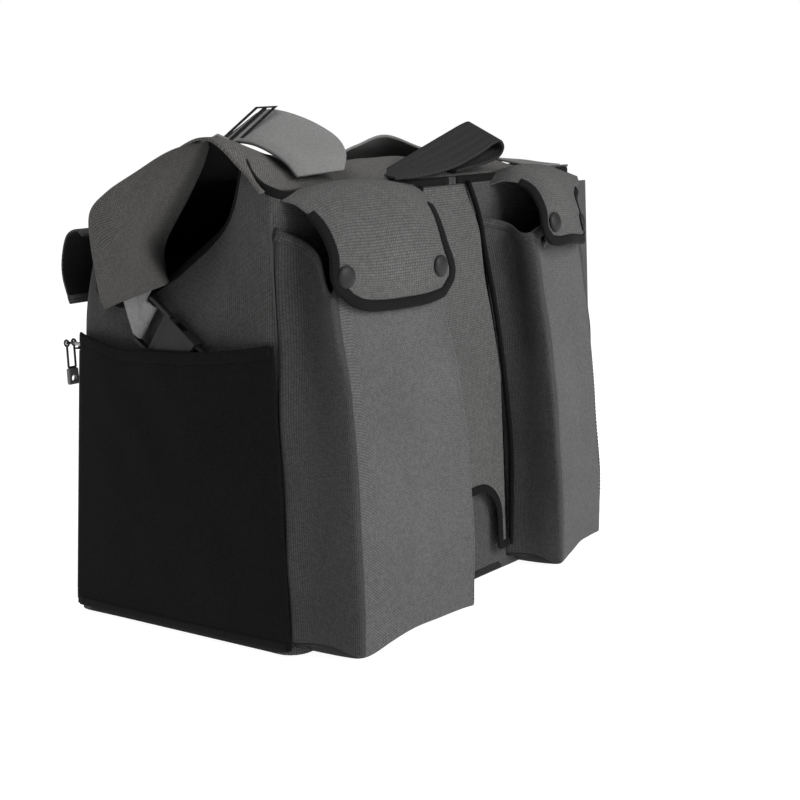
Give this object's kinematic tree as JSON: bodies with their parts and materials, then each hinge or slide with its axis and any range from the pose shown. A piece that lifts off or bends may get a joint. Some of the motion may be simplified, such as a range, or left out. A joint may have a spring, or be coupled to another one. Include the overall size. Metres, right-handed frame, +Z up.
{
  "type": "tail bag",
  "caption": "Roll-top tail bag with two snap-flap pockets on its back, mesh end pockets, a zipped front pocket, grab handle and shoulder strap.",
  "frame": {"origin": "centre of the bounding box's underside, on the surface that the bag stands on", "axes": "+X along the width, +Y towards the outer front with the zipped pocket, +Z up; the two flapped pockets and the mounting sleeve face -Y"},
  "size_m": [0.454, 0.293, 0.3874],
  "materials": {
    "grey_canvas": "coarse basket weave cloth, matt",
    "grey_webbing": "woven nylon webbing, slight sheen",
    "black_webbing": "ribbed nylon webbing",
    "stretch_mesh": "fine stretch mesh",
    "black_cloth": "binding tape and base cloth",
    "black_plastic": "moulded acetal",
    "snap_black": "domed snap caps",
    "zip_black": "moulded coil",
    "zip_metal": "lacquered zip slider",
    "pull_grey": "cord and moulded end",
    "stiffener": "polyethylene sheet"
  },
  "bodies": {
    "bag": {"body_shell": "grey_canvas", "base_cloth": "black_cloth", "base_board": "stiffener", "back_board": "stiffener", "sleeve_panel": "grey_canvas", "arch_binding": "black_cloth", "back_piping": "black_cloth", "front_pocket": "grey_canvas", "zip_tapes": "black_cloth", "zip_teeth": "zip_black", "left_pocket": "grey_canvas", "left_snap_studs": "snap_black", "left_mesh_pocket": "stretch_mesh", "left_mesh_hem": "stretch_mesh", "left_clip_socket": "black_plastic", "left_clip_anchor": "black_webbing", "right_pocket": "grey_canvas", "right_snap_studs": "snap_black", "right_mesh_pocket": "stretch_mesh", "right_mesh_hem": "stretch_mesh", "right_clip_socket": "black_plastic", "right_clip_anchor": "black_webbing"},
    "left_flap": {"left_pocket_flap": "grey_canvas", "left_flap_binding": "black_cloth", "left_snap_sockets": "snap_black", "left_snap_caps": "snap_black"},
    "right_flap": {"right_pocket_flap": "grey_canvas", "right_flap_binding": "black_cloth", "right_snap_sockets": "snap_black", "right_snap_caps": "snap_black"},
    "roll": {"roll_top": "grey_canvas", "roll_stiffener": "stiffener", "shoulder_strap": "grey_webbing", "strap_crossing": "grey_webbing", "left_clip_plug": "black_plastic", "left_clip_tab": "grey_webbing", "right_clip_plug": "black_plastic", "right_clip_tab": "grey_webbing"},
    "left_arm_upper": {"left_clip_arm_upper": "black_plastic"},
    "left_arm_lower": {"left_clip_arm_lower": "black_plastic"},
    "right_arm_upper": {"right_clip_arm_upper": "black_plastic"},
    "right_arm_lower": {"right_clip_arm_lower": "black_plastic"},
    "slider": {"strap_slider": "black_plastic"},
    "zip_car": {"zip_slider": "zip_metal"},
    "zip_pull": {"pull_cord": "pull_grey", "pull_end": "pull_grey"},
    "storm_flap": {"front_flap": "grey_canvas", "front_flap_hem": "grey_canvas"},
    "handle": {"carry_handle": "black_webbing"}
  },
  "joints": [
    {"name": "left_flap_open", "type": "hinge", "parent": "bag", "child": "left_flap", "pos_m": [-0.126, -0.10048, 0.331], "axis": [-1, 0, 0], "range_deg": [0, 70]},
    {"name": "right_flap_open", "type": "hinge", "parent": "bag", "child": "right_flap", "pos_m": [0.126, -0.10048, 0.331], "axis": [-1, 0, 0], "range_deg": [0, 70]},
    {"name": "roll_top_open", "type": "hinge", "parent": "bag", "child": "roll", "pos_m": [0, -0.09248, 0.332], "axis": [1, 0, 0], "range_deg": [0, 75], "deforming": ["shoulder_strap", "strap_crossing"]},
    {"name": "left_arm_upper_squeeze", "type": "hinge", "parent": "roll", "child": "left_arm_upper", "pos_m": [-0.218, -0.00073, 0.23906], "axis": [1, 0, 0], "range_deg": [0, 5], "stiffness_Nm_per_rad": 0.02},
    {"name": "left_arm_lower_squeeze", "type": "hinge", "parent": "roll", "child": "left_arm_lower", "pos_m": [-0.218, 0.01513, 0.21846], "axis": [-1, 0, 0], "range_deg": [0, 5], "stiffness_Nm_per_rad": 0.02},
    {"name": "right_arm_upper_squeeze", "type": "hinge", "parent": "roll", "child": "right_arm_upper", "pos_m": [0.218, -0.00073, 0.23906], "axis": [1, 0, 0], "range_deg": [0, 5], "stiffness_Nm_per_rad": 0.02},
    {"name": "right_arm_lower_squeeze", "type": "hinge", "parent": "roll", "child": "right_arm_lower", "pos_m": [0.218, 0.01513, 0.21846], "axis": [-1, 0, 0], "range_deg": [0, 5], "stiffness_Nm_per_rad": 0.02},
    {"name": "strap_slider_slide", "type": "slide", "parent": "roll", "child": "slider", "axis": [0, 0.9852, -0.1713], "range_m": [0, 0.018]},
    {"name": "zip_slide", "type": "slide", "parent": "bag", "child": "zip_car", "axis": [1, 0, 0], "range_m": [0, 0.4]},
    {"name": "zip_pull_swing", "type": "hinge", "parent": "zip_car", "child": "zip_pull", "pos_m": [-0.2005, 0.13107, 0.2158], "axis": [1, 0, 0], "range_deg": [0, 110]},
    {"name": "storm_flap_lift", "type": "hinge", "parent": "bag", "child": "storm_flap", "pos_m": [0, 0.10352, 0.303], "axis": [1, 0, 0], "range_deg": [0, 100]},
    {"name": "handle_flop", "type": "hinge", "parent": "roll", "child": "handle", "pos_m": [0, -0.07348, 0.343], "axis": [1, 0, 0], "range_deg": [-45, 0]}
  ]
}
